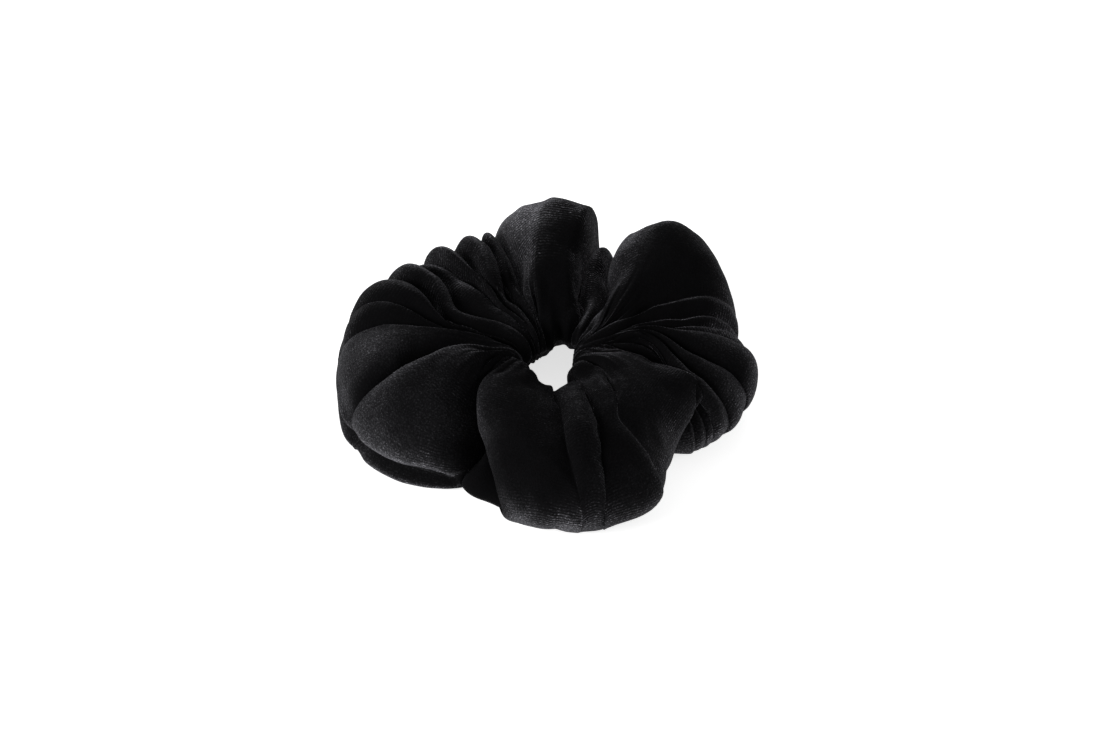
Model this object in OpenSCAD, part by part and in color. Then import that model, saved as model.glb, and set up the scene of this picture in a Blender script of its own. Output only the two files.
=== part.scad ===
// A gathered velvet scrunchie: a tube of stretch velvet bunched over a ring of
// woven elastic. It lies on its side faces, the axis of its hole along Z, with
// the origin on that axis at the height of the table. Millimetres.

/* [Hole and gathers] */
// Radius of the hole, measured to the packed gathers
hole_r = 12.5; // [9:0.5:16]
// Height of the straight wall of gathers that grips the hair
grip_h = 8; // [5:0.5:12]
// Thickness of the packed gathers between the hole and the elastic
gather_t = 3.7; // [2.5:0.1:5]
// Height of the middle of the hole above the table
hole_z = 11; // [8:0.5:14]

/* [Velvet cover] */
// Thickness of the velvet with its pile and small gathers
velvet_t = 1.4; // [0.8:0.1:2]
// Share of the way out from the hole at which each puff is highest
crown_share = 0.5; // [0.4:0.05:0.6]
// Height of the outer fold of the tube as a share of the puff's height
edge_share = 0.46; // [0.35:0.01:0.6]
// How far the puffs would sink below the table if it did not flatten them
rest_flat = 0.7; // [0.3:0.1:1.2]

/* [Elastic] */
// Thickness of the woven elastic
elastic_t = 1.3; // [0.8:0.1:2]
// Width of the woven elastic
elastic_w = 6; // [4:0.5:8]
// Length by which the two ends of the elastic overlap
elastic_lap = 13; // [8:1:20]
// Direction of the middle of that overlap
lap_az = 232; // [200:1:250]

/* [Seams] */
// Radius of the sewing thread
thread_r = 0.2; // [0.15:0.05:0.3]
// Length of one stitch
stitch = 2.4; // [1.5:0.1:4]
// Gap between two stitches
stitch_gap = 0.7; // [0.3:0.1:1.5]
// Distance of the long seam from the axis of the hole
seam_r = 24; // [22:1:28]
// Direction of the seam that closes the tube into a ring
closing_az = 320; // [290:5:340]

/* [Stretch] */
// Gap between the left and right halves of the ring at rest
split_gap = 0.3; // [0.1:0.1:0.5]

/* [Hidden] */

// The puffs and the pinches between them, counter-clockwise from +X seen from
// above: [direction, distance of the outer fold from the axis, height].
puffs = [
    [8, 48.5, 17], [38, 55.8, 30.5], [60, 39, 17], [68, 42, 21.5], [75, 39, 17],
    [88, 55, 29.5], [108, 46, 22], [120, 48, 24], [138, 45.5, 21], [160, 56.5, 24],
    [184, 54, 21], [214, 57, 23], [244, 42.5, 15], [272, 55.7, 23], [300, 53, 23],
    [322, 40, 15], [352, 55.7, 20]
];
n_puffs = len(puffs);
n_stations = 72;
n_round = 9;
n_slope = 3;
far = 200;

velvet_colour = [0.03, 0.03, 0.035];
elastic_colour = [0.08, 0.08, 0.09];
thread_colour = [0.05, 0.05, 0.06];

// Smooth step from 0 to 1.
function ease(t) = t * t * (3 - 2 * t);

// Reach (k = 1) or height (k = 2) of the cover in direction az, eased between
// the puffs and pinches on either side.
function gap_after(i) = (puffs[(i + 1) % n_puffs][0] - puffs[i][0] + 360) % 360;
function turn_from(i, az) = (az - puffs[i][0] + 720) % 360;
function cover_at(az, k) =
    let (i = [for (j = [0:n_puffs - 1]) if (turn_from(j, az) < gap_after(j)) j][0],
         t = ease(turn_from(i, az) / gap_after(i)))
    puffs[i][k] * (1 - t) + puffs[(i + 1) % n_puffs][k] * t;

// Outline of the tube in direction az as [distance, height] points, from the
// foot of the grip wall up, over the crown, round the outer fold and back.
// inset shrinks it, and wall moves the grip wall out.
function tube_outline(az, inset, wall) =
    let (inner = hole_r - 0.4 + wall,
         half_grip = grip_h / 2 - min(inset, 1),
         crown_r = hole_r + (cover_at(az, 1) - hole_r) * crown_share,
         reach = cover_at(az, 1) - inset - crown_r,
         edge_z = cover_at(az, 2) * edge_share,
         up = cover_at(az, 2) - inset - edge_z,
         down = edge_z - inset + rest_flat)
    concat(
        [[inner, hole_z - half_grip], [inner, hole_z + half_grip]],
        [for (i = [1:n_slope]) let (s = i / (n_slope + 1))
            [inner + (crown_r - inner) * s,
             hole_z + half_grip + (edge_z + up - hole_z - half_grip) * ease(s)]],
        [for (i = [0:n_round - 1]) let (a = 90 - 180 * i / (n_round - 1))
            [crown_r + reach * cos(a), edge_z + (a > 0 ? up : down) * sin(a)]],
        [for (i = [n_slope:-1:1]) let (s = i / (n_slope + 1))
            [inner + (crown_r - inner) * s,
             hole_z - half_grip + (edge_z - down - hole_z + half_grip) * ease(s)]]);

function at(az, p) = [p[0] * cos(az), p[0] * sin(az), p[1]];

// Closed ring through the tube's outline in every direction.
module tube_ring(inset, wall) {
    rings = [for (i = [0:n_stations - 1]) let (az = 360 * i / n_stations)
        [for (p = tube_outline(az, inset, wall)) at(az, p)]];
    m = len(rings[0]);
    function id(i, j) = (i % n_stations) * m + j % m;
    polyhedron(
        points = [for (ring = rings, p = ring) p],
        faces = [for (i = [0:n_stations - 1], j = [0:m - 1], half = [0, 1])
            half == 0 ? [id(i, j), id(i + 1, j), id(i + 1, j + 1)]
                      : [id(i, j), id(i + 1, j + 1), id(i, j + 1)]]);
}

// Everything to one side of the split: side 1 is the right half, -1 the left.
module half_space(side) {
    translate([side > 0 ? split_gap / 2 : -far - split_gap / 2, -far / 2, 0])
        cube([far, far, far]);
}

// One half of the velvet tube: a shell over the elastic, thick at the hole,
// where the gathers are packed, and flat where it rests on the table.
module velvet_cover(side) {
    color(velvet_colour)
    difference() {
        intersection() {
            tube_ring(0, 0);
            half_space(side);
        }
        tube_ring(velvet_t, gather_t + 0.4);
        translate([0, 0, -1]) cylinder(h = far, r = hole_r, $fn = 96);
    }
}

// Flat band of elastic on edge, from direction a0 over the angle sweep.
module elastic_band(r, a0, sweep) {
    rotate([0, 0, a0])
    rotate_extrude(angle = sweep, $fn = 120)
        translate([r, hole_z - elastic_w / 2]) square([elastic_t, elastic_w]);
}

elastic_r = hole_r + gather_t + 0.1;
lap_r = elastic_r + elastic_t + 0.02;
lap_sweep = elastic_lap / lap_r * 180 / PI;
split_angle = asin(split_gap / 2 / elastic_r);

module elastic_left() {
    color(elastic_colour) {
        elastic_band(elastic_r, 90 + split_angle, 180 - 2 * split_angle);
        elastic_band(lap_r, lap_az - lap_sweep / 2, lap_sweep);
    }
}

module elastic_right() {
    color(elastic_colour)
        elastic_band(elastic_r, 270 + split_angle, 180 - 2 * split_angle);
}

// Straight length of thread between two points.
module thread(a, b) {
    d = b - a;
    flat = norm([d[0], d[1]]);
    translate(a)
    rotate([0, atan2(flat, d[2]), atan2(d[1], d[0])])
        cylinder(h = norm(d), r = thread_r, $fn = 16);
}

// Zigzag of stitches over the outer face of the elastic's overlap.
module elastic_join_thread() {
    n = 6;
    r = lap_r + elastic_t + 2 * thread_r;
    half = elastic_w / 2 - 0.8;
    function corner(i) =
        at(lap_az + lap_sweep * 0.8 * (i / n - 0.5), [r, hole_z + (i % 2 == 0 ? half : -half)]);
    color(thread_colour)
    for (i = [0:n - 1]) {
        d = (corner(i + 1) - corner(i)) * 0.04;
        thread(corner(i) + d, corner(i + 1) - d);
    }
}

// Row of stitches inside the tube, on the floor of the cover, from a0 to a1.
module tube_seam_thread(a0, a1) {
    pitch = (stitch + stitch_gap) / seam_r * 180 / PI;
    count = floor((a1 - a0) / pitch);
    function seam_point(az) =
        at(az, [seam_r, seam_floor(az) + 3 * thread_r]);
    color(thread_colour)
    for (i = [0:count - 1]) {
        az = a0 + (i + 0.2) * pitch;
        thread(seam_point(az), seam_point(az + pitch * stitch / (stitch + stitch_gap)));
    }
}

// Height of the cover's inner floor at the long seam.
function seam_floor(az) =
    let (outline = tube_outline(az, velvet_t, gather_t + 0.4), m = len(outline),
         i = [for (j = [m - n_slope - 1:m - 1])
              if (outline[j][0] >= seam_r && outline[(j + 1) % m][0] <= seam_r) j][0],
         a = outline[i], b = outline[(i + 1) % m])
    a[1] + (b[1] - a[1]) * (seam_r - a[0]) / (b[0] - a[0]);

// Stitches across the tube where its two ends meet, on top of the cover.
module closing_seam_thread() {
    outline = tube_outline(closing_az, -2 * thread_r, 0);
    color(thread_colour)
    for (i = [2:n_slope + n_round / 2 + 1]) {
        a = at(closing_az, outline[i]);
        b = at(closing_az, outline[i + 1]);
        n = max(1, floor(norm(b - a) / (stitch + stitch_gap)));
        step = (b - a) / n;
        for (k = [0:n - 1])
            thread(a + step * (k + 0.15), a + step * (k + 0.85));
    }
}

velvet_cover(-1);  // velvet_cover_left
velvet_cover(1);  // velvet_cover_right
elastic_left();
elastic_right();
elastic_join_thread();
tube_seam_thread(92, 268);  // tube_seam_thread_left
tube_seam_thread(272, 448);  // tube_seam_thread_right
closing_seam_thread();
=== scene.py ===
import math
import bpy
import numpy as np
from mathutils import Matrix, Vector


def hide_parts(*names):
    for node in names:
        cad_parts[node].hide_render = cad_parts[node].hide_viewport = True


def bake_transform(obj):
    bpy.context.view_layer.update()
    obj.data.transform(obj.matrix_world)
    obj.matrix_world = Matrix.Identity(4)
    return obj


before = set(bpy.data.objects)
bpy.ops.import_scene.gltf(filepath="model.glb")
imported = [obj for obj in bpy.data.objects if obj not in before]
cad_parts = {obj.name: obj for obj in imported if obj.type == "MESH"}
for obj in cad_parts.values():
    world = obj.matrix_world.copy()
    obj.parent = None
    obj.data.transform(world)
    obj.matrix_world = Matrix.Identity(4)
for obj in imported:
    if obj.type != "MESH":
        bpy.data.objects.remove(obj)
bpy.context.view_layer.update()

# ---------------------------------------------------------------- sizes, metres
FLAT_WIDTH, FLAT_LENGTH = 0.105, 0.40        # the velvet as it is cut
KNIT_PITCH = 0.00075         # rows of the velvet's knit backing
HOLE_Z = 0.011               # height of the middle of the hole
ELASTIC_R = 0.0162           # inner face of the elastic ring
ELASTIC_T, ELASTIC_W = 0.0013, 0.0054
ELASTIC_Z = HOLE_Z - 0.0003  # height of the middle of the elastic
ELASTIC_RIB = 0.00055        # pitch of the ribs across its width
ELASTIC_YARN = 0.0009        # pitch of the yarns along it
LAP_AZ, LAP_LENGTH = 232, 0.013              # where its ends lie over each other
THREAD_R = 0.0002
TWIST_PITCH = 0.0014         # how far its two plies go for one turn
STITCH, STITCH_GAP = 0.0024, 0.0007
SEAM_R = 0.024               # the long seam, on the underside
SEAM_Z = 0.0011 + 1.5 * THREAD_R
SHEEN = 0.098                # how strongly the pile catches the light

# ---------------------------------------------------------------- the cover's folds
# The cover is lofted over folds, listed counter-clockwise seen from above.
# Each one runs from the hole out over the crown to the outer edge.
#   kind: "ridge", "gap" between two ridges, "crease" for a shallow gap, "plain"
#   direction in degrees at the hole, a third and two thirds out, and at the edge
#   reach of its outer edge and height of its crown, mm
#   lip: share of the second fold under the outer edge
#   rim: mm that it stands higher at the hole
#   hollow: share by which its face towards the hole is dished
#   nap: how far the pile is brushed down, 0 to 1
#   tip: share by which the edge stands out over what is below it
SHARES = (0, 0.33, 0.67, 1)
FOLDS = [
    # right lobe: small bunched folds beside the front lobe, then wider ones
    ("gap", 11, -11, -28, -39, 39.5, 8, {}),
    ("ridge", 11.4, -6, -26.5, -37.5, 45.2, 17, {}),
    ("gap", 11.8, -1, -25.5, -36, 44.5, 14.5, {}),
    ("ridge", 12.2, 3, -24.8, -34.5, 46.3, 17.5, {}),
    ("gap", 12.6, 6, -24, -33, 46, 15.5, {}),
    ("ridge", 12.9, 8, -23.5, -31.5, 47.2, 18.5, {}),
    ("crease", 13, 9, -22.8, -30, 46, 17.5, {}),
    ("ridge", 13.2, 9.5, -22, -28, 49, 20.5, {}),
    ("gap", 13.5, 10.2, -17.5, -24, 49, 17.6, {}),
    ("ridge", 13.9, 11, -12.5, -19, 50.5, 20, {"nap": 0.6}),
    ("crease", 14.3, 11.8, -8, -13, 51, 17.8, {}),
    ("ridge", 14.8, 12.5, -1.5, -4, 53.5, 20.5, {}),
    ("crease", 15.5, 13.2, 4.5, 2, 52, 17.5, {}),
    ("ridge", 16.2, 14, 8, 5, 51, 19.5, {"nap": 0.6}),
    ("gap", 17, 15, 10.5, 8.5, 47.5, 15, {}),
    # back right lobe
    ("ridge", 18, 16.5, 12.2, 11, 50, 20.5, {}),
    ("crease", 19, 18.5, 14.2, 13, 49.5, 18.6, {}),
    ("ridge", 20, 21, 17, 16, 51, 23, {}),
    ("crease", 21, 23, 19.5, 18.5, 51.5, 22, {}),
    ("plain", 22, 26, 28, 29, 54.2, 27, {"hollow": 0.5, "nap": 0}),
    ("plain", 24, 31, 40, 41, 56, 31, {"hollow": 0.7, "nap": 0.1}),
    ("plain", 25, 36, 50, 52.5, 56, 31.8, {"hollow": 0.6, "nap": 0.35}),
    ("ridge", 26, 41, 57, 59.5, 49.5, 25.5, {"nap": 0.6}),
    ("gap", 40, 49, 62, 64, 40.5, 13, {}),
    # small knuckle
    ("ridge", 48, 60, 68, 68.5, 43.5, 21.5, {}),
    ("gap", 57, 71, 73.5, 73.5, 40.5, 13, {}),
    # tall back lobe
    ("ridge", 76, 82, 79, 76, 51, 29, {"nap": 0.1}),
    ("plain", 93, 91, 84, 80, 52.5, 29, {"hollow": 0.6, "nap": 0.05}),
    ("ridge", 101, 97.5, 92, 87, 54, 29.8, {"nap": 0.3}),
    ("plain", 102.5, 100, 97, 96, 54, 28.3, {"nap": 0.75}),
    ("ridge", 104, 103.5, 102.5, 103, 51.5, 25.8, {"nap": 0.75}),
    ("gap", 107, 106.5, 107.5, 108.5, 45.5, 15, {"nap": 0.4}),
    # pair of narrow folds and the one behind them
    ("ridge", 111, 112, 111.5, 111.5, 49, 24, {}),
    ("gap", 116, 118, 114.5, 114, 47, 19, {}),
    ("ridge", 120, 126, 121, 119.5, 50, 24.8, {"rim": 1.5}),
    ("gap", 122, 127.8, 125.5, 124.5, 48.5, 17.5, {"rim": 1.5}),
    ("ridge", 123.5, 128.8, 128.5, 129, 51.5, 23.3, {"rim": 1.5}),
    ("gap", 125, 129.5, 131, 134, 45.5, 13, {"rim": 1}),
    # left lobe: finger folds, then the broad side
    ("ridge", 128, 132.5, 135, 138, 52, 20, {"rim": 1}),
    ("crease", 140, 150, 139, 140, 51.5, 17.3, {"rim": 1}),
    ("ridge", 150, 156, 143.5, 143, 54.3, 22, {"nap": 0.6}),
    ("gap", 160, 164.5, 149, 147, 52.5, 17, {}),
    ("ridge", 164, 166.5, 158, 157, 55, 23, {"lip": 0.7, "nap": 0.1}),
    ("crease", 167, 168, 163.5, 162, 54.6, 20.6, {"lip": 0.9}),
    ("ridge", 169.5, 169.5, 167.5, 166, 53.8, 21.5, {"lip": 1, "nap": 0.2}),
    ("crease", 173, 173, 174, 175, 53, 18, {"lip": 1}),
    # left front lobe
    ("ridge", 176, 181, 193, 199, 53.4, 22.5, {"lip": 1, "rim": 0.8, "nap": 0.55}),
    ("gap", 180, 186, 199, 204, 53.2, 18, {"lip": 1, "rim": 0.8}),
    ("ridge", 185, 193, 206, 210, 53.4, 23, {"lip": 1, "rim": 1.5, "nap": 1}),
    ("plain", 192, 200, 218, 221, 52.7, 21.5, {"lip": 1, "rim": 1.8, "nap": 1}),
    ("plain", 197, 211, 232, 231, 47.7, 17, {"lip": 1, "rim": 1.8, "nap": 0.8}),
    ("gap", 203, 222, 242, 239, 41.5, 6, {"lip": 0.1, "rim": 2.8, "nap": 0.2}),
    # low lobe that shows under the front one
    ("ridge", 206, 224, 245, 248.5, 45, 9, {"rim": 1.8, "nap": 0}),
    ("crease", 209, 226, 248, 256.5, 46.6, 8.5, {"rim": 2.5, "nap": 0.4}),
    # front lobe
    ("ridge", 215, 231, 252, 264, 52.6, 20.5, {"rim": 1.8, "nap": 0.7}),
    ("plain", 238, 251, 261.5, 269, 55.4, 24, {"rim": 1.8, "nap": 0.35}),
    ("crease", 274, 276, 276, 278, 56.8, 21.5, {"rim": 0.8}),
    ("ridge", 288, 285, 281.5, 280.8, 56.6, 25, {"nap": 0.45}),
    ("crease", 302, 292, 286.5, 283.6, 56.6, 21, {}),
    ("ridge", 322, 303, 291.5, 292, 55.3, 22.3, {"nap": 0.2}),
    ("crease", 337, 309, 297.5, 300, 52.2, 21.4, {}),
    ("plain", 346, 325, 311, 309, 47.5, 20.5, {"tip": 0.3}),
    ("plain", 354, 338, 322, 318, 42.5, 21, {"tip": 0.7}),
    ("plain", 362, 344, 330, 326, 42.5, 21, {"tip": 1}),
    ("ridge", 370, 349, 336.5, 334, 42.8, 21.5, {"tip": 1, "nap": 0.1}),
]
# How far out the gathers leave the hole open: direction, radius in mm.
OPENING = [
    (0, 5.8), (25, 7.4), (45, 9.8), (60, 11.5), (85, 10.5), (97, 8), (112, 5.6),
    (150, 5.3), (165, 7.2), (185, 7.2), (205, 6.6), (225, 6.8), (245, 8.4), (258, 11),
    (270, 12.8), (282, 11.5), (295, 9.4), (310, 7.6), (325, 6), (342, 5.3), (360, 5.8),
]
AROUND = 104             # rows of the cover's mesh round the tube
STEP = 0.8               # widest step between its columns, mm
SKIN = 1.1               # from its outer face to its inner one, mm
LIFT = 0.9               # the inner face stays this far above the table, mm
LIP_AZ, LIP_SPREAD = 182, 24     # where the fold under the edge stands out furthest, degrees
TUCK = {"gap": 1, "ridge": 0, "plain": 0.4, "crease": 0.7}   # how far each kind is packed in


def opening(az):
    """Radius of the hole in a direction, with its corners rounded off."""
    degrees = np.arange(360)
    radius = np.interp(degrees, [p[0] for p in OPENING], [p[1] for p in OPENING])
    kernel = np.exp(-((np.arange(-24, 25) / 7) ** 2))
    kernel /= kernel.sum()
    radius = np.convolve(np.tile(radius, 3), kernel, "same")[360:720]
    return np.interp(np.asarray(az) % 360, np.arange(361), np.append(radius, radius[0]))


def steady_curve(xs, ys, x):
    """Smooth curve through a few points that never overshoots them."""
    xs, ys = np.asarray(xs, float), np.asarray(ys, float)
    h = np.diff(xs)
    d = np.diff(ys) / h
    m = np.r_[d[0], np.zeros(len(xs) - 2), d[-1]]
    for k in range(1, len(xs) - 1):
        if d[k - 1] * d[k] > 0:
            m[k] = 2 / (1 / d[k - 1] + 1 / d[k])
    k = np.clip(np.searchsorted(xs, x, side="right") - 1, 0, len(xs) - 2)
    t = (x - xs[k]) / h[k]
    rise = ys[k] * (2 * t**3 - 3 * t**2 + 1) + ys[k + 1] * (3 * t**2 - 2 * t**3)
    return rise + h[k] * (m[k] * (t**3 - 2 * t**2 + t) + m[k + 1] * (t**3 - t**2))


def lip_reach(reach, edge_az, z):
    """Distance out of a wall that tucks in over a second fold at the table, in mm."""
    out = 4 * math.exp(-(((edge_az - LIP_AZ) / LIP_SPREAD) ** 2)) - 0.8
    heights = (0, 0.9, 2, 3.2, 4.6, 6, 8.5, 12)
    back = (3.5, 0.9, 0, 1, 5, 3, 0.6, 0)
    return reach + out - steady_curve(heights, back, np.clip(z, 0, 12))


def fold_section(kind, hole_az, edge_az, reach, top, lip=0, tip=0, rim=0, hollow=0, nap=None):
    """Closed outline of the tube along one fold: distance out and height. Nap is for the pile and
    is not used here.
    """
    t = np.linspace(0, 1, 300)
    turn = t * np.pi / 2
    inner = opening(hole_az) + 1.3 * TUCK[kind]
    grip = inner + 4
    grip_z = 15.5 - 0.9 * TUCK[kind] + 0.03 * (top - 20) + rim
    foot, foot_z = inner + 5.5, 2.2 + 2 * math.exp(-(((hole_az - 78) / 26) ** 2))
    edge_z = (0.46 + 0.3 * tip) * top
    share = 0.67 + 0.1 * math.sin(math.radians(edge_az)) + 0.15 * tip
    crown = grip + share * (reach - grip)
    flat = grip + (0.7 - 0.25 * tip) * (reach - grip)
    middle = 10.5
    climb = {
        "gap": t ** (1.25 if top > grip_z else 3),
        "ridge": 0.3 * t + 0.7 * np.sin(turn),
        "plain": 0.35 * t + 0.65 * np.sin(turn),
        "crease": 0.6 * t + 0.4 * np.sin(turn),
    }[kind]
    climb = climb + hollow * (t**2 * (1.6 - 0.6 * t) - climb)
    wall = (1 - tip) * np.cos(turn) + tip * (1 - np.sin(turn))
    side_r, side_z = flat + (reach - flat) * wall, edge_z * (1 - np.sin(turn))
    side_r = side_r + lip * (lip_reach(reach, edge_az, side_z) - side_r)
    parts = [
        # up round the hole, up the slope to the crown, and over the crown
        (grip - (grip - inner) * np.cos(turn), middle + (grip_z - middle) * np.sin(turn)),
        (grip + (crown - grip) * t, grip_z + (top - grip_z) * climb),
        (crown + (reach - crown) * np.sin(turn), edge_z + (top - edge_z) * np.cos(turn)),
        # down the outer side, back along the table, and up to the hole
        (side_r, side_z),
        (flat + (foot - flat) * t, foot_z * t**3),
        (foot + (inner - foot) * t, foot_z + (middle - foot_z) * t),
    ]
    r = np.concatenate([p[0] for p in parts])
    z = np.concatenate([p[1] for p in parts])
    length = np.r_[0, np.cumsum(np.hypot(np.diff(r), np.diff(z)))]
    even = np.linspace(0, length[-1], AROUND + 1)[:-1]
    return np.interp(even, length, r), np.interp(even, length, z), inner


def across(first, second, t, bulge=0.12):
    """Share of the way sideways, overhang, and share of the way down to the next fold."""
    low = ("gap", "crease")
    if second in low and first not in low:
        x = math.sin(math.pi * t / 2)
        round_top = 1 - math.sqrt(max(0, 1 - x * x))
        over = bulge * math.sin(math.pi * t) if first == "ridge" else 0
        return x, over, 0.4 * round_top + 0.6 * x**1.8
    if first in low and second not in low:
        x, over, w = across(second, first, 1 - t, bulge)
        return 1 - x, -over, 1 - w
    if first == "ridge" and second == "plain":
        return t, 0, 1 - math.cos(math.pi * t / 2)
    if first == "plain" and second == "ridge":
        return t, 0, math.sin(math.pi * t / 2)
    return t, 0, t


def eased(points, share=0.5, times=1, both=True):
    """Move every point part of the way to the middle of its neighbours."""
    for _ in range(times):
        near = (np.roll(points, 1, 0) + np.roll(points, -1, 0)) / 2
        if both:
            near = (near + (np.roll(points, 1, 1) + np.roll(points, -1, 1)) / 2) / 2
        points = points + share * (near - points)
    return points


def soft_noise(shape, columns, rows, rng):
    """Smooth noise that closes on itself both ways."""
    grid = rng.standard_normal((columns, rows))
    for axis in (0, 1):
        size, count = shape[axis], grid.shape[axis]
        x = np.arange(size) * count / size
        k = x.astype(int)
        t = x - k
        t = t * t * (3 - 2 * t)
        t = t[:, None] if axis == 0 else t[None, :]
        a, b = np.take(grid, k % count, axis), np.take(grid, (k + 1) % count, axis)
        grid = a * (1 - t) + b * t
    return grid


def outward(points):
    """Unit normals of the tube, pointing out of it."""
    n = np.cross(
        np.roll(points, -1, 0) - np.roll(points, 1, 0),
        np.roll(points, -1, 1) - np.roll(points, 1, 1),
    )
    n /= np.linalg.norm(n, axis=-1, keepdims=True) + 1e-9
    return n * np.sign((n * (points - points.mean(1, keepdims=True))).sum(-1).mean())


def cover_points(seed=5):
    """Outer face of the velvet tube as columns of points, in mm."""
    sections = []
    for kind, a0, a1, a2, a3, reach, top, extras in FOLDS:
        r, z, inner = fold_section(kind, a0, a3, reach, top, **extras)
        share = np.clip((r - inner - 3) / (reach - inner - 3), 0, 1)
        sections.append((kind, steady_curve(SHARES, (a0, a1, a2, a3), share), r, z))
    columns, plain, marks = [], [], []
    for k, (kind, az, r, z) in enumerate(sections):
        kind2, az2, r2, z2 = sections[(k + 1) % len(sections)]
        turn = az2 - az + (360 if k == len(sections) - 1 else 0)
        wide = np.hypot((r + r2) / 2 * np.radians(turn), np.hypot(r2 - r, z2 - z)).max()
        count = max(4, round(wide / STEP))
        marks.append(len(columns))
        for i in range(count):
            t = i / count
            x, over, w = across(kind, kind2, t)
            height = z + (z2 - z) * w
            x = x + over * np.clip((height - 2) / 4, 0, 1)
            columns.append(np.stack([az + turn * x, r + (r2 - r) * w, height], -1))
            plain.append(max((1 - t) * (kind == "plain"), t * (kind2 == "plain")))
    c = np.array(columns)
    a = np.radians(c[..., 0])
    p = np.stack([c[..., 1] * np.cos(a), c[..., 1] * np.sin(a), c[..., 2]], -1)
    blend = np.clip(1.6 * np.array(plain), 0, 1)[:, None, None]
    for _ in range(120):
        p = p + blend * (eased(p, both=False) - p)
    p = eased(p, times=3)
    rng = np.random.default_rng(seed)
    wide, r = p.shape[0], np.hypot(p[..., 0], p[..., 1])
    near = np.clip((34 - r) / 18, 0, 1)
    low = np.clip(p[..., 2] / 4, 0, 1)
    gathers = 0.5 * soft_noise(p.shape, wide // 6, 7, rng)
    gathers = (gathers + 0.25 * soft_noise(p.shape, wide // 3, 9, rng)) * near
    waves = 0.28 * soft_noise(p.shape, 70, 16, rng) + 0.12 * soft_noise(p.shape, 140, 30, rng)
    p = p + outward(p) * ((gathers + waves) * low)[..., None]
    p = eased(p, 0.35)
    p[..., 2] = np.maximum(p[..., 2], 0)
    return p, marks


def settled(points, marks, frames=20):
    """The tube after its cloth swells between the folds, which hold its shape."""
    scene, scale = bpy.context.scene, 0.02          # Blender's cloth likes big things
    coarse = points[::2, ::2]
    columns, rows = coarse.shape[:2]
    r = np.hypot(coarse[..., 0], coarse[..., 1])
    az = np.degrees(np.arctan2(coarse[..., 1], coarse[..., 0]))
    hold = np.full((columns, rows), 0.1)
    for mark, fold in zip(marks, FOLDS):
        hold[mark // 2 % columns] = {"gap": 0.9, "crease": 0.6}.get(fold[0], 0.1)
    lips = np.interp(np.arange(columns), np.array(marks) / 2, [f[-1].get("lip", 0) for f in FOLDS])
    tucked = (coarse[..., 2] < 7) & (r > 36)
    hold = np.where(tucked, np.maximum(hold, 0.95 * lips[:, None]), hold).round(2)
    hold[coarse[..., 2] < 0.6] = np.maximum(hold[coarse[..., 2] < 0.6], 0.7)
    hold[r < opening(az) + 4] = 1
    mesh = bpy.data.meshes.new("trial")
    mesh.from_pydata(
        (coarse * scale).reshape(-1, 3).tolist(), [], ring_faces(columns, rows, flip=True)
    )
    trial = bpy.data.objects.new("trial", mesh)
    scene.collection.objects.link(trial)
    pins = trial.vertex_groups.new(name="pins")
    for weight in np.unique(hold):
        pins.add(np.nonzero(hold.ravel() == weight)[0].tolist(), float(weight), "REPLACE")
    cloth = trial.modifiers.new("cloth", "CLOTH")
    made_of = cloth.settings
    made_of.quality, made_of.mass, made_of.air_damping = 5, 0.1, 1
    made_of.tension_stiffness = made_of.compression_stiffness = 15
    made_of.shear_stiffness, made_of.bending_stiffness = 5, 4
    made_of.tension_damping = made_of.compression_damping = 8
    made_of.shear_damping, made_of.bending_damping = 5, 0.5
    made_of.vertex_group_mass, made_of.pin_stiffness = "pins", 1
    made_of.shrink_min = -0.04
    made_of.use_pressure, made_of.uniform_pressure_force = True, 4
    made_of.effector_weights.gravity = 0
    cloth.point_cache.frame_start, cloth.point_cache.frame_end = 1, frames + 1
    scene.frame_start, scene.frame_end = 1, frames + 1
    for number in range(1, frames + 1):
        scene.frame_set(number)
    shown = trial.evaluated_get(bpy.context.evaluated_depsgraph_get())
    place = np.zeros(columns * rows * 3, np.float32)
    shown.data.vertices.foreach_get("co", place)
    moved = eased(place.reshape(columns, rows, 3) / scale - coarse, times=3)
    bpy.data.objects.remove(trial)
    bpy.data.meshes.remove(mesh)
    scene.frame_set(1)
    for axis in (0, 1):
        size, count = points.shape[axis], moved.shape[axis]
        x = np.arange(size) * count / size
        k = x.astype(int)
        t = (x - k).reshape((-1, 1, 1) if axis == 0 else (1, -1, 1))
        here, ahead = np.take(moved, k % count, axis), np.take(moved, (k + 1) % count, axis)
        moved = here * (1 - t) + ahead * t
    points = points + moved
    points[..., 2] = np.maximum(points[..., 2], 0)
    return points


# ---------------------------------------------------------------- making pieces
def new_object(name, points, faces, material, smooth=True):
    mesh = bpy.data.meshes.new(name)
    mesh.from_pydata(np.asarray(points, float).tolist(), [], faces)
    mesh.materials.append(material)
    if smooth:
        mesh.shade_smooth()
    made = bpy.data.objects.new(name, mesh)
    bpy.context.scene.collection.objects.link(made)
    return made


def ring_faces(columns, rows, first=0, flip=False):
    """Quads of a surface that closes on itself both ways."""
    k = np.arange(columns * rows).reshape(columns, rows) + first
    a, b = k, np.roll(k, -1, 0)
    c, d = np.roll(b, -1, 1), np.roll(k, -1, 1)
    order = (a, d, c, b) if flip else (a, b, c, d)
    return np.stack(order, -1).reshape(-1, 4).tolist()


def tube_faces(rings, sides, first=0, flip=True):
    """Quads of an open tube, ring by ring, and a face over each end."""
    faces = []
    for i in range(rings - 1):
        for j in range(sides):
            a, b = first + i * sides + j, first + i * sides + (j + 1) % sides
            quad = (a, b, b + sides, a + sides)
            faces.append((quad[0], quad[3], quad[2], quad[1]) if flip else quad)
    start, end = first, first + (rings - 1) * sides
    near, far = list(range(start, start + sides)), list(range(end, end + sides))
    faces.append(tuple(near if flip else reversed(near)))
    faces.append(tuple(reversed(far) if flip else far))
    return faces


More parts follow.
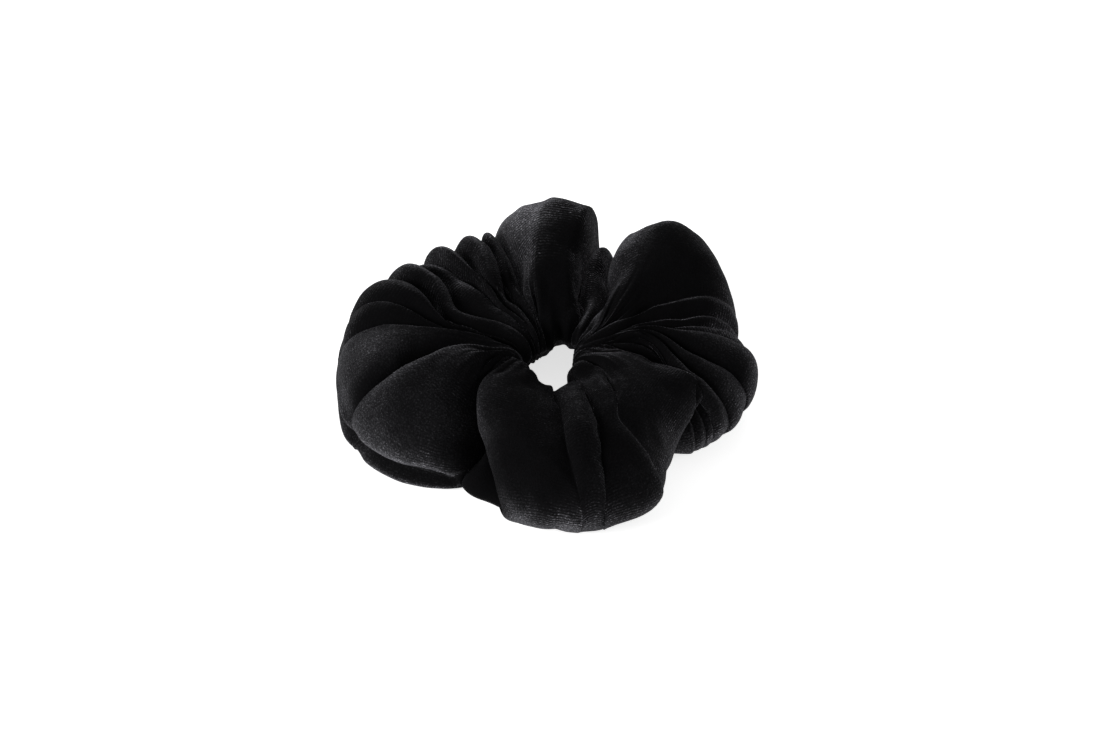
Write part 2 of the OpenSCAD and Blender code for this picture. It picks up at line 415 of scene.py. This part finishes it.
def stretchy(piece):
    """Bake the piece's placing into its own mesh."""
    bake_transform(piece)


# ---------------------------------------------------------------- materials
def nodes_of(name):
    material = bpy.data.materials.new(name)
    material.use_nodes = True
    tree = material.node_tree
    return material, tree, tree.nodes["Principled BSDF"]


def add(tree, kind, **settings):
    node = tree.nodes.new(kind)
    for key, value in settings.items():
        setattr(node, key, value)
    return node


def math_node(tree, operation, a, b=None, c=None, clamp=False):
    node = add(tree, "ShaderNodeMath", operation=operation, use_clamp=clamp)
    for k, value in enumerate((a, b, c)):
        if value is None:
            continue
        if isinstance(value, (int, float)):
            node.inputs[k].default_value = value
        else:
            tree.links.new(value, node.inputs[k])
    return node.outputs[0]


def noise_node(tree, coordinates, scale, detail=2.0, rough=0.5):
    node = add(tree, "ShaderNodeTexNoise")
    node.inputs["Scale"].default_value = scale
    node.inputs["Detail"].default_value = detail
    node.inputs["Roughness"].default_value = rough
    tree.links.new(coordinates, node.inputs["Vector"])
    return node.outputs[0]


def leaning(down, aside):
    """Colour of a normal map whose pile leans down the cloth and to one side."""
    x, y = math.sin(math.radians(aside)), -math.sin(math.radians(down))
    return (0.5 + 0.5 * x, 0.5 + 0.5 * y, 0.5 + 0.5 * math.sqrt(1 - x * x - y * y), 1)


def velvet(marks, wide):
    """Black velvet: its pile leans away from the hole, brushed flatter in patches."""
    material, tree, shader = nodes_of("black_velvet")
    shader.inputs["Roughness"].default_value = 0.9
    shader.inputs["Specular IOR Level"].default_value = 0.02
    shader.inputs["Sheen Tint"].default_value = (0.93, 0.92, 1.0, 1)
    place = add(tree, "ShaderNodeTexCoord")
    where, cloth = place.outputs["Object"], place.outputs["UV"]
    tufts = noise_node(tree, where, 2500, 2, 0.6)
    lay = noise_node(tree, where, 300, 4, 0.6)
    brushed = noise_node(tree, where, 55, 3, 0.55)
    broad = noise_node(tree, where, 40, 2, 0.5)
    # rows of the knit backing, which show through where the pile is brushed
    split = add(tree, "ShaderNodeSeparateXYZ")
    tree.links.new(cloth, split.inputs[0])
    wander = math_node(tree, "MULTIPLY", lay, 5.0)
    rows = math_node(tree, "MULTIPLY", split.outputs[1], 2 * math.pi / KNIT_PITCH)
    rows = math_node(tree, "SINE", math_node(tree, "ADD", rows, wander))
    bare = math_node(tree, "MULTIPLY_ADD", brushed, 3.2, -1.1, clamp=True)
    rows = math_node(tree, "MULTIPLY", math_node(tree, "MULTIPLY", rows, bare), tufts)
    # colour
    shade = math_node(tree, "MULTIPLY", brushed, lay)
    shade = math_node(tree, "MULTIPLY_ADD", shade, 1.8, 0.4)
    ramp = add(tree, "ShaderNodeMix", data_type="RGBA")
    ramp.inputs["A"].default_value = (0.0013, 0.0013, 0.0014, 1)
    ramp.inputs["B"].default_value = (0.0040, 0.0038, 0.0043, 1)
    tone = math_node(tree, "MULTIPLY", shade, tufts, clamp=True)
    tree.links.new(tone, ramp.inputs["Factor"])
    tree.links.new(ramp.outputs["Result"], shader.inputs["Base Color"])
    # lean of the pile
    nap = add(tree, "ShaderNodeNormalMap", uv_map="cloth")
    lean = add(tree, "ShaderNodeMix", data_type="RGBA")
    lean.inputs["A"].default_value = leaning(6, -10)
    lean.inputs["B"].default_value = leaning(28, 10)
    folds = add(tree, "ShaderNodeValToRGB")
    folds.color_ramp.interpolation = "EASE"
    tree.links.new(math_node(tree, "DIVIDE", split.outputs[0], FLAT_LENGTH), folds.inputs[0])
    brushings = [fold[-1].get("nap") for fold in FOLDS]
    stops = [(mark / wide, down) for mark, down in zip(marks, brushings) if down is not None]
    for k, (at, value) in enumerate(stops):
        stop = folds.color_ramp.elements[k] if k < 2 else folds.color_ramp.elements.new(at)
        stop.position, stop.color = at, (value, value, value, 1)
    pushed = math_node(tree, "MULTIPLY_ADD", broad, 2.4, -1.2)
    pushed = math_node(tree, "ADD", pushed, folds.outputs[0], clamp=True)
    tree.links.new(pushed, lean.inputs["Factor"])
    tree.links.new(lean.outputs["Result"], nap.inputs["Color"])
    # sheen: patches, and tufts that stand up and catch the light
    glint = math_node(tree, "POWER", tufts, 6.0)
    glint = math_node(tree, "MULTIPLY_ADD", glint, 30.0, 0.45)
    patch = math_node(tree, "MULTIPLY_ADD", brushed, 1.3, 0.25)
    patch = math_node(tree, "MULTIPLY", patch, math_node(tree, "MULTIPLY_ADD", pushed, 0.7, 0.8))
    sheen = math_node(tree, "MULTIPLY", math_node(tree, "MULTIPLY", glint, patch), SHEEN)
    tree.links.new(sheen, shader.inputs["Sheen Weight"])
    softer = math_node(tree, "MULTIPLY_ADD", pushed, 0.22, 0.26)
    tree.links.new(softer, shader.inputs["Sheen Roughness"])
    bump = add(tree, "ShaderNodeBump")
    tree.links.new(nap.outputs[0], bump.inputs["Normal"])
    bump.inputs["Strength"].default_value = 0.9
    bump.inputs["Distance"].default_value = 0.0002
    height = math_node(tree, "MULTIPLY_ADD", rows, 0.35, tufts)
    height = math_node(tree, "MULTIPLY_ADD", lay, 1.5, height)
    tree.links.new(height, bump.inputs["Height"])
    tree.links.new(bump.outputs[0], shader.inputs["Normal"])
    return material


# ---------------------------------------------------------------- velvet cover
def flat_places(columns, rows, flip=False):
    """Where each corner of ring_faces lies on the flat cut, in metres: along it and across."""
    u, v = np.meshgrid(np.arange(columns), np.arange(rows), indexing="ij")
    corners = [(u, v), (u + 1, v), (u + 1, v + 1), (u, v + 1)]
    if flip:
        corners = [corners[k] for k in (0, 3, 2, 1)]
    placed = [
        np.stack([along * FLAT_LENGTH / columns, over * FLAT_WIDTH / rows], -1)
        for along, over in corners
    ]
    return np.stack(placed, 2).reshape(-1, 2)


def velvet_cover(outer, fold_columns):
    """A closed skin: the outer face, and a coarser inner one a little way in."""
    wide = outer.shape[0]
    inner = eased(outer - SKIN * outward(outer), times=4)[::2, ::2]
    inner[..., 2] = np.maximum(inner[..., 2], LIFT)
    points = np.concatenate([outer.reshape(-1, 3), inner.reshape(-1, 3)]) / 1000
    faces = ring_faces(wide, AROUND)
    faces = faces + ring_faces(*inner.shape[:2], first=wide * AROUND, flip=True)
    cover = new_object("velvet_cover", points, faces, velvet(fold_columns, wide))
    flat = np.concatenate([flat_places(wide, AROUND), flat_places(*inner.shape[:2], flip=True)])
    laid = cover.data.uv_layers.new(name="cloth")
    laid.data.foreach_set("uv", flat.astype(np.float32).ravel())
    return cover


outer, fold_columns = cover_points()
outer = settled(outer, fold_columns)
cover = velvet_cover(outer, fold_columns)
stretchy(cover)
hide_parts("velvet_cover_left", "velvet_cover_right")


# ---------------------------------------------------------------- elastic
def woven_elastic():
    """Braided elastic: fine ribs along it, crossed by small yarns."""
    material, tree, shader = nodes_of("woven_elastic")
    shader.inputs["Roughness"].default_value = 0.75
    shader.inputs["Specular IOR Level"].default_value = 0.25
    shader.inputs["Sheen Weight"].default_value = 0.1
    place = add(tree, "ShaderNodeTexCoord")
    split = add(tree, "ShaderNodeSeparateXYZ")
    tree.links.new(place.outputs["UV"], split.inputs[0])
    along = math_node(tree, "MULTIPLY", split.outputs[0], 2 * math.pi / ELASTIC_YARN)
    rib = math_node(tree, "MULTIPLY", split.outputs[1], 2 * math.pi / ELASTIC_RIB)
    lean = math_node(tree, "MULTIPLY", math_node(tree, "SINE", rib), 1.4)
    yarn = math_node(tree, "SINE", math_node(tree, "ADD", along, lean))
    yarn = math_node(tree, "MULTIPLY_ADD", yarn, 0.5, 0.5)
    fibres = noise_node(tree, place.outputs["Object"], 3000, 3)
    tone = math_node(tree, "MULTIPLY", yarn, fibres, clamp=True)
    ramp = add(tree, "ShaderNodeMix", data_type="RGBA")
    ramp.inputs["A"].default_value = (0.006, 0.006, 0.007, 1)
    ramp.inputs["B"].default_value = (0.022, 0.022, 0.026, 1)
    tree.links.new(tone, ramp.inputs["Factor"])
    tree.links.new(ramp.outputs["Result"], shader.inputs["Base Color"])
    bump = add(tree, "ShaderNodeBump")
    bump.inputs["Strength"].default_value = 0.7
    bump.inputs["Distance"].default_value = 0.0001
    tree.links.new(math_node(tree, "ADD", yarn, fibres), bump.inputs["Height"])
    tree.links.new(bump.outputs[0], shader.inputs["Normal"])
    return material


def elastic_line(az):
    """Radius of the elastic's inner face: it swings out where the hole is wide."""
    return ELASTIC_R + 0.35e-3 * np.clip(opening(az) - 9.5, 0, None)


def band_section(count=72):
    """Rounded flat section with shallow ribs: offset out and up, metres."""
    turn = np.arange(count) * 2 * np.pi / count
    x = np.sign(np.cos(turn)) * np.abs(np.cos(turn)) ** 0.35
    y = np.sign(np.sin(turn)) * np.abs(np.sin(turn)) ** 0.8
    up = y * ELASTIC_W / 2
    rib = 0.00006 * np.cos(2 * np.pi * up / ELASTIC_RIB)
    return x * (ELASTIC_T / 2 - 0.00012 + rib), up


def elastic_band(steps=560, ramp=15):
    """The band goes round once and on over its own start, which it climbs in ramp degrees."""
    sweep = 360 + math.degrees(LAP_LENGTH / ELASTIC_R)
    start = LAP_AZ - math.degrees(LAP_LENGTH / ELASTIC_R) / 2
    t = np.linspace(0, 1, steps)
    az = start + sweep * t
    rise = np.clip((az - (start + 360 - ramp)) / ramp, 0, 1)
    rise = rise * rise * (3 - 2 * rise) * (ELASTIC_T + 0.00003)
    out_by, up_by = band_section()
    rounds = out_by.size
    wave = 0.00008 * np.sin(np.radians(az) * 41) + 0.00005 * np.sin(np.radians(az) * 67)
    r = elastic_line(az) + ELASTIC_T / 2 + rise + wave
    shrink = np.ones(steps)
    shrink[[0, -1]] = 0.9                        # its cut ends are a little rounded
    ring = np.radians(az)[:, None]
    radius = r[:, None] + out_by[None, :] * shrink[:, None]
    height = ELASTIC_Z + up_by[None, :] * shrink[:, None] + wave[:, None]
    points = np.stack([radius * np.cos(ring), radius * np.sin(ring), height], -1).reshape(-1, 3)
    faces = tube_faces(steps, rounds)
    band = new_object("elastic_band", points, faces, woven_elastic())
    laid = band.data.uv_layers.new(name="cloth")
    corners = np.array([loop.vertex_index for loop in band.data.loops])
    length = np.radians(sweep) * ELASTIC_R * t
    spread = np.stack([np.repeat(length, rounds), np.tile(up_by, steps)], -1)[corners]
    laid.data.foreach_set("uv", spread.astype(np.float32).ravel())
    return band


elastic = elastic_band()
stretchy(elastic)
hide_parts("elastic_left", "elastic_right")


# ---------------------------------------------------------------- threads
def sewing_thread():
    """Spun polyester: two plies with a faint shine along their lay."""
    material, tree, shader = nodes_of("sewing_thread")
    shader.inputs["Roughness"].default_value = 0.5
    shader.inputs["Specular IOR Level"].default_value = 0.3
    shader.inputs["Sheen Weight"].default_value = 0.15
    place = add(tree, "ShaderNodeTexCoord")
    fibres = noise_node(tree, place.outputs["Object"], 5000, 3)
    ramp = add(tree, "ShaderNodeMix", data_type="RGBA")
    ramp.inputs["A"].default_value = (0.004, 0.004, 0.005, 1)
    ramp.inputs["B"].default_value = (0.018, 0.018, 0.021, 1)
    tree.links.new(fibres, ramp.inputs["Factor"])
    tree.links.new(ramp.outputs["Result"], shader.inputs["Base Color"])
    bump = add(tree, "ShaderNodeBump")
    bump.inputs["Strength"].default_value = 0.5
    bump.inputs["Distance"].default_value = 0.00003
    tree.links.new(fibres, bump.inputs["Height"])
    tree.links.new(bump.outputs[0], shader.inputs["Normal"])
    return material


def stitch_points(line, up, first, plies=2, sides=8, rings=18):
    """One stitch of plied thread, arched over a line of places, as closed tubes."""
    line, up = np.asarray(line, float), np.asarray(up, float)
    points, faces = [], []
    t = np.linspace(0, 1, rings)
    path = line[0] + (line[1] - line[0]) * t[:, None]
    path = path + up * (THREAD_R * 1.6 * np.sin(np.pi * t) ** 0.5 - THREAD_R * 0.8)[:, None]
    ahead = np.gradient(path, axis=0)
    ahead /= np.linalg.norm(ahead, axis=1, keepdims=True)
    side = np.cross(ahead, up)
    side /= np.linalg.norm(side, axis=1, keepdims=True)
    top = np.cross(side, ahead)
    twist = 2 * np.pi * np.linalg.norm(line[1] - line[0]) / TWIST_PITCH
    for ply in range(plies):
        turn = twist * t + 2 * np.pi * ply / plies
        middle = path + THREAD_R * 0.5 * (
            np.cos(turn)[:, None] * side + np.sin(turn)[:, None] * top
        )
        radius = THREAD_R * 0.52 * np.sqrt(np.clip(1 - np.abs(2 * t - 1) ** 8, 0.05, 1))
        round_by = 2 * np.pi * np.arange(sides) / sides
        tube = (
            middle[:, None]
            + radius[:, None, None] * np.cos(round_by)[None, :, None] * side[:, None]
            + radius[:, None, None] * np.sin(round_by)[None, :, None] * top[:, None]
        )
        faces += tube_faces(rings, sides, first + len(points) * rings * sides, flip=False)
        points.append(tube.reshape(-1, 3))
    return np.concatenate(points), faces


def stitched(name, stitches, material, *nodes):
    """One piece from many stitches, each a pair of places and the way up."""
    points, faces, count = [], [], 0
    for line, up in stitches:
        new_points, new_faces = stitch_points(line, up, count)
        points.append(new_points)
        faces += new_faces
        count += len(new_points)
    piece = new_object(name, np.concatenate(points), faces, material)
    stretchy(piece)
    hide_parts(*nodes)


def ring_place(radius, az, z):
    """A place from its distance from the axis, its direction in degrees and its height."""
    turn = math.radians(az)
    return (radius * math.cos(turn), radius * math.sin(turn), z)


def zigzag_over_lap(count=8, rise=0.0019, above=0.00028):
    """Stitches that go up and down across the elastic where its ends overlap."""
    sweep = 0.8 * math.degrees(LAP_LENGTH / ELASTIC_R)
    radius = elastic_line(LAP_AZ) + 2 * ELASTIC_T + above
    stitches = []
    for k in range(count):
        ends = []
        for i in (k, k + 1):
            z = ELASTIC_Z + (rise if i % 2 == 0 else -rise)
            ends.append(Vector(ring_place(radius, LAP_AZ + sweep * (i / count - 0.5), z)))
        out_way = Vector((ends[0].x + ends[1].x, ends[0].y + ends[1].y, 0)).normalized()
        inset = 0.03 * (ends[1] - ends[0])
        stitches.append(((ends[0] + inset, ends[1] - inset), out_way))
    return stitches


def long_seam():
    """Stitches round the cover's floor, inside the tube."""
    pitch = math.degrees((STITCH + STITCH_GAP) / SEAM_R)
    sweep = pitch * STITCH / (STITCH + STITCH_GAP)
    return [
        ([ring_place(SEAM_R, k * pitch + turn, SEAM_Z) for turn in (0, sweep)], (0, 0, 1))
        for k in range(round(360 / pitch))
    ]


def closing_seam(outer, start_r=0.0155, clear=0.00012):
    """Stitches down the first fold, the pinch at the right of the front puff, where it faces up."""
    valley, away = outer[0] / 1000, outward(outer)[0]
    shown = (np.hypot(valley[:, 0], valley[:, 1]) > start_r) & (away[:, 2] > 0.1)
    run = np.nonzero(shown)[0]
    line = valley[run[0]:run[-1] + 1] + clear * away[run[0]:run[-1] + 1]
    length = np.r_[0, np.cumsum(np.linalg.norm(np.diff(line, axis=0), axis=1))]
    pitch = STITCH + STITCH_GAP
    stitches = []
    for k in range(int(length[-1] / pitch)):
        ends = [
            [np.interp(place, length, line[:, axis]) for axis in range(3)]
            for place in (k * pitch, k * pitch + STITCH)
        ]
        way = away[run[0] + int(np.searchsorted(length, (k + 0.5) * pitch))]
        stitches.append((ends, way))
    return stitches


thread = sewing_thread()
stitched("elastic_join_stitches", zigzag_over_lap(), thread, "elastic_join_thread")
stitched("long_seam_stitches", long_seam(), thread,
         "tube_seam_thread_left", "tube_seam_thread_right")
stitched("closing_seam_stitches", closing_seam(outer), thread, "closing_seam_thread")


# ---------------------------------------------------------------- floor, light, camera
def aim(thing, place, target):
    thing.location = place
    thing.rotation_mode = "QUATERNION"
    thing.rotation_quaternion = (Vector(target) - Vector(place)).to_track_quat("-Z", "Y")


def lamp(name, place, target, size, power, colour=(1, 1, 1)):
    data = bpy.data.lights.new(name, "AREA")
    data.shape, data.size, data.energy, data.color = "DISK", size, power, colour
    made = bpy.data.objects.new(name, data)
    bpy.context.scene.collection.objects.link(made)
    aim(made, place, target)


floor_material, _, floor_shader = nodes_of("floor")
floor_shader.inputs["Base Color"].default_value = (0.92, 0.92, 0.92, 1)
floor_shader.inputs["Roughness"].default_value = 0.9
floor_shader.inputs["Emission Color"].default_value = (1, 1, 1, 1)
floor_shader.inputs["Emission Strength"].default_value = 0.7
floor_shader.inputs["Specular IOR Level"].default_value = 0.1
half = 3
corners = [(-half, -half, 0), (half, -half, 0), (half, half, 0), (-half, half, 0)]
floor = new_object("floor", corners, [(0, 1, 2, 3)], floor_material, smooth=False)
world = bpy.data.worlds.new("studio")
bpy.context.scene.world = world
world.use_nodes = True
world.node_tree.nodes["Background"].inputs[0].default_value = (1, 1, 1, 1)
world.node_tree.nodes["Background"].inputs[1].default_value = 0.30
MIDDLE = (0, 0, 0.01)
lamp("key", (-0.65, -0.30, 0.30), MIDDLE, 0.40, 6.0)
lamp("rim", (0.1, 0.75, 0.35), MIDDLE, 0.5, 1.5)
lamp("right", (0.7, -0.05, 0.25), MIDDLE, 0.35, 2.0)

EYE_HEIGHT, EYE_DISTANCE = math.radians(40), 0.55
VIEW_WIDTH = 0.28205         # width of the view at that distance
SENSOR = 36
target = Vector((0, 0, 0.0115))
camera_data = bpy.data.cameras.new("camera")
camera = bpy.data.objects.new("camera", camera_data)
bpy.context.scene.collection.objects.link(camera)
back = Vector((0, -math.cos(EYE_HEIGHT), math.sin(EYE_HEIGHT)))
aim(camera, target + back * EYE_DISTANCE, target)
camera_data.sensor_width = SENSOR
camera_data.lens = SENSOR * EYE_DISTANCE / VIEW_WIDTH
camera_data.shift_x, camera_data.shift_y = 0.0009, -0.0032
bpy.context.scene.camera = camera
bpy.context.scene.view_settings.view_transform = "Standard"
